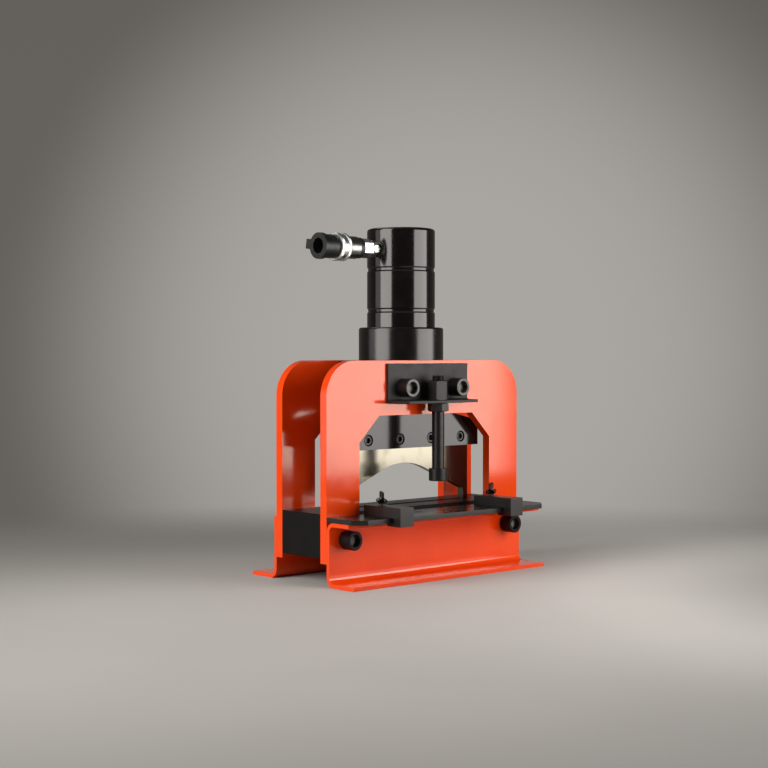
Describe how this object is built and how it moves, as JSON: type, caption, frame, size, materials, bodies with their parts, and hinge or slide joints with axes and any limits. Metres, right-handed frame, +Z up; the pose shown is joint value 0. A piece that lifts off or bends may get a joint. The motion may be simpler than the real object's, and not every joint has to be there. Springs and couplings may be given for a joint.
{
  "type": "hydraulic busbar cutter",
  "caption": "Bench shear for flat metal bars: a spring-return hydraulic cylinder drives an arched blade through a window frame into a slotted die, with sliding side guides and a screw hold-down.",
  "frame": {"origin": "on the floor, at the middle of the footprint; the cylinder's axis stands 11.9 mm behind it", "axes": "+Z up along the ram, +X to the right along the frame plates, -Y to the front, where the bar goes in"},
  "size_m": [0.34, 0.2258, 0.452],
  "materials": {
    "orange_paint": "gloss",
    "black_table": "semi-gloss",
    "satin_black": "satin",
    "gloss_black": "gloss",
    "black_oxide": "oiled black oxide",
    "bright_steel": "ground and polished",
    "plated_steel": "bright zinc plate",
    "spring_steel": "oil-tempered",
    "bronze": "machined",
    "seal_rubber": "matt",
    "cap_plastic": "moulded"
  },
  "bodies": {
    "frame": {"front_frame_plate": "orange_paint", "rear_frame_plate": "orange_paint", "front_foot_bracket": "orange_paint", "rear_foot_bracket": "orange_paint", "front_table": "black_table", "table_screws": "black_oxide", "die_block": "black_table", "head_block": "satin_black", "hold_down_bracket": "satin_black", "upper_front_screws": "black_oxide", "upper_rear_screws": "black_oxide", "lower_screws": "black_oxide", "lock_washers": "black_oxide", "cylinder_barrel": "gloss_black", "cylinder_collar": "satin_black", "rod_bush": "bronze", "rod_wiper": "seal_rubber", "return_spring": "spring_steel", "port_adapter": "plated_steel", "coupler_body": "plated_steel", "valve_spring": "spring_steel"},
    "ram": {"piston": "plated_steel", "piston_seal": "seal_rubber", "piston_wear_ring": "bronze", "piston_nut": "plated_steel", "piston_rod": "bright_steel", "blade_holder": "satin_black", "holder_screws": "black_oxide", "shear_blade": "bright_steel", "blade_screws": "black_oxide"},
    "hold_screw": {"hold_down_screw": "black_oxide"},
    "hold_nut": {"hold_down_nut": "black_oxide"},
    "lock_nut": {"hold_down_lock_nut": "black_oxide"},
    "guide_left": {"left_guide": "black_table"},
    "guide_right": {"right_guide": "black_table"},
    "wing_left": {"left_wing_screw": "black_oxide"},
    "wing_right": {"right_wing_screw": "black_oxide"},
    "sleeve": {"coupler_sleeve": "plated_steel"},
    "valve": {"coupler_valve": "bright_steel"},
    "cap": {"dust_cap": "cap_plastic"}
  },
  "joints": [
    {"name": "ram_stroke", "type": "slide", "parent": "frame", "child": "ram", "axis": [0, 0, -1], "range_m": [0, 0.056], "stiffness_N_per_m": 3000, "springref_m": -0.06, "deforming": ["return_spring"]},
    {"name": "hold_screw_slide", "type": "slide", "parent": "frame", "child": "hold_screw", "axis": [0, 0, 1], "range_m": [-0.028, 0]},
    {"name": "hold_nut_turn", "type": "hinge", "parent": "frame", "child": "hold_nut", "pos_m": [0, -0.0591, 0.24], "axis": [0, 0, 1], "range_deg": [0, 5041]},
    {"name": "lock_nut_turn", "type": "hinge", "parent": "frame", "child": "lock_nut", "pos_m": [0, -0.0591, 0.218], "axis": [0, 0, 1], "range_deg": [0, 5041]},
    {"name": "left_guide_slide", "type": "slide", "parent": "frame", "child": "guide_left", "axis": [1, 0, 0], "range_m": [-0.039, 0.07]},
    {"name": "right_guide_slide", "type": "slide", "parent": "frame", "child": "guide_right", "axis": [1, 0, 0], "range_m": [-0.057, 0.052]},
    {"name": "left_wing_turn", "type": "hinge", "parent": "guide_left", "child": "wing_left", "pos_m": [-0.104, -0.0661, 0.1], "axis": [0, 0, 1], "range_deg": [0, 360]},
    {"name": "right_wing_turn", "type": "hinge", "parent": "guide_right", "child": "wing_right", "pos_m": [0.091, -0.0661, 0.1], "axis": [0, 0, 1], "range_deg": [0, 360]},
    {"name": "sleeve_spin", "type": "hinge", "parent": "frame", "child": "sleeve", "pos_m": [-0.108, 0.0119, 0.424], "axis": [1, 0, 0], "continuous": true},
    {"name": "valve_push", "type": "slide", "parent": "frame", "child": "valve", "axis": [1, 0, 0], "range_m": [0, 0.004], "stiffness_N_per_m": 500, "springref_m": -0.01, "deforming": ["valve_spring"]},
    {"name": "cap_pull", "type": "slide", "parent": "frame", "child": "cap", "axis": [-1, 0, 0], "range_m": [0, 0.03]}
  ],
  "couplings": [
    {"joint": "hold_nut_turn", "follows": "hold_screw_slide", "rad_per_m": -3141.6},
    {"joint": "lock_nut_turn", "follows": "hold_screw_slide", "rad_per_m": -3141.6}
  ]
}
